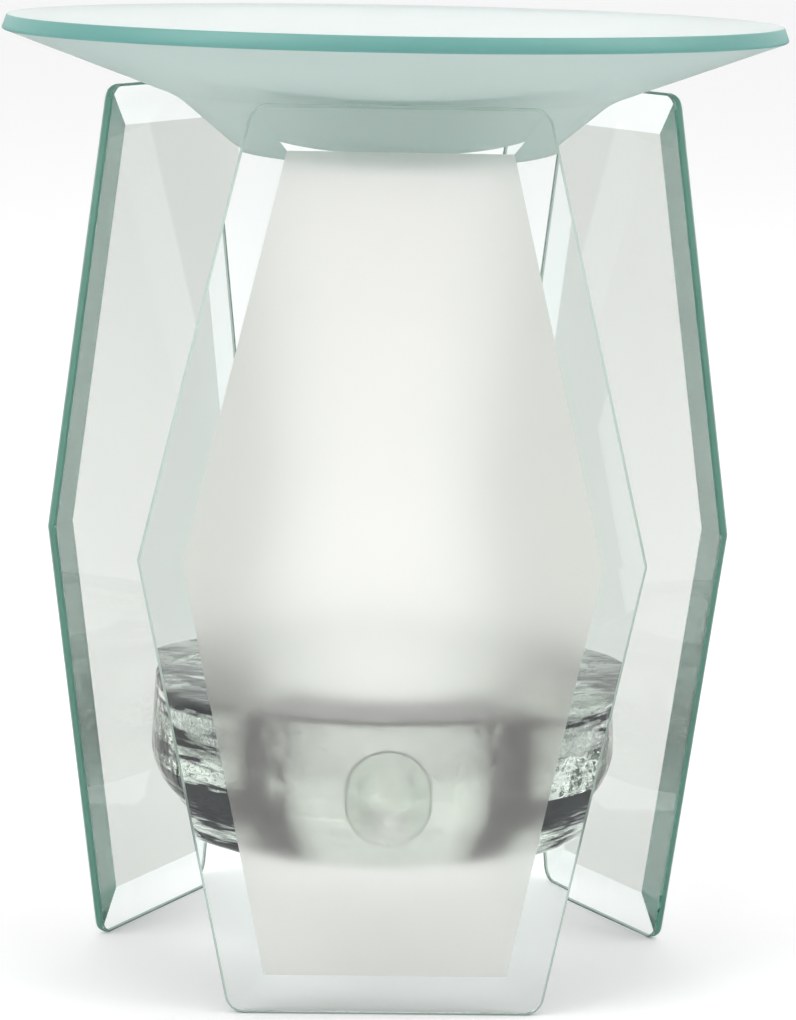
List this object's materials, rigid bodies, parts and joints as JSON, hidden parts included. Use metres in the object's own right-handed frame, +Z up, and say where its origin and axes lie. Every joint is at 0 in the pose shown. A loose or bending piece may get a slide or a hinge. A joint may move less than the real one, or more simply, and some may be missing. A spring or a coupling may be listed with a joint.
{
  "type": "wax melt warmer",
  "caption": "Glass wax melt warmer: bevelled frosted panels stand on edge round a tealight holder and carry a loose slumped dish in which scented wax melts.",
  "frame": {"origin": "on the table, under the middle of the dish, between the three panels", "axes": "+Z up, -Y towards the side that the front panel faces, +X to that viewer's right"},
  "size_m": [0.1298, 0.1298, 0.1582],
  "materials": {
    "bevelled_glass": "float glass, acid-frosted flat, polished bevel, ground green edge",
    "pressed_glass": "clear pressed glass, fire polished",
    "clear_adhesive": "clear cured acrylic adhesive",
    "frosted_dish_glass": "satin frosted float glass, ground edge"
  },
  "bodies": {
    "stand": {"front_panel": "bevelled_glass", "left_panel": "bevelled_glass", "right_panel": "bevelled_glass", "candle_holder": "pressed_glass", "front_bond": "clear_adhesive", "left_bond": "clear_adhesive", "right_bond": "clear_adhesive"},
    "dish": {"wax_dish": "frosted_dish_glass"}
  },
  "joints": [
    {"name": "dish_lift", "type": "slide", "parent": "stand", "child": "dish", "axis": [0, 0, 1], "range_m": [0, 0.05]}
  ]
}
